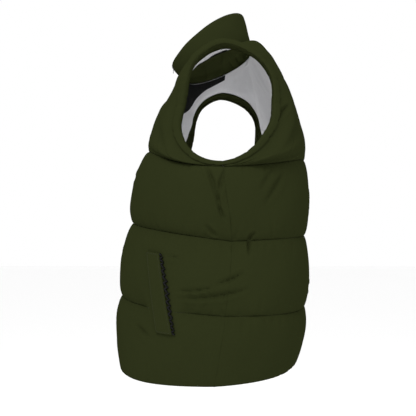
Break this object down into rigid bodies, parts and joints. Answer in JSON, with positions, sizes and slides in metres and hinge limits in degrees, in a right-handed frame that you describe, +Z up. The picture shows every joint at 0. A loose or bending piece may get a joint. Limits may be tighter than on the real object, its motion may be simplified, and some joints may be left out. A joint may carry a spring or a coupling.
{
  "type": "puffer vest",
  "caption": "Quilted, padded sleeveless vest with a stand collar, full front zip, slanted zip pockets and rolled armhole edges, in its worn hollow shape.",
  "frame": {"origin": "midway between the neck ends of the two shoulder seams, where the wearer's shoulders carry the vest", "axes": "+Z up, -Y to the front (the zip), +X to the wearer's left"},
  "size_m": [0.4776, 0.3602, 0.677],
  "materials": {
    "shell": "olive polyester, nearly matte",
    "lining": "pale grey woven lining",
    "black_cloth": "matte black",
    "black_teeth": "moulded black",
    "grey_metal": "gunmetal grey"
  },
  "bodies": {
    "vest": {"front_left": "shell", "front_right": "shell", "back": "shell", "collar": "shell", "armhole_edge_left": "shell", "armhole_edge_right": "shell", "armhole_facing_left": "shell", "armhole_facing_right": "shell", "pocket_welt_left": "shell", "pocket_welt_right": "shell", "lining_back": "lining", "lining_front_left": "lining", "lining_front_right": "lining", "neck_facing_left": "black_cloth", "neck_facing_right": "black_cloth", "zip_tape_left": "black_cloth", "zip_tape_right": "black_cloth", "zip_chain": "black_teeth", "pocket_zip_left": "black_teeth", "pocket_zip_right": "black_teeth", "zip_slider": "grey_metal"},
    "pull": {"zip_pull": "grey_metal"}
  },
  "joints": [
    {"name": "pull_swing", "type": "hinge", "parent": "vest", "child": "pull", "pos_m": [0, -0.10395, -0.01011], "axis": [-1, 0, 0], "range_deg": [-42, 130]}
  ]
}
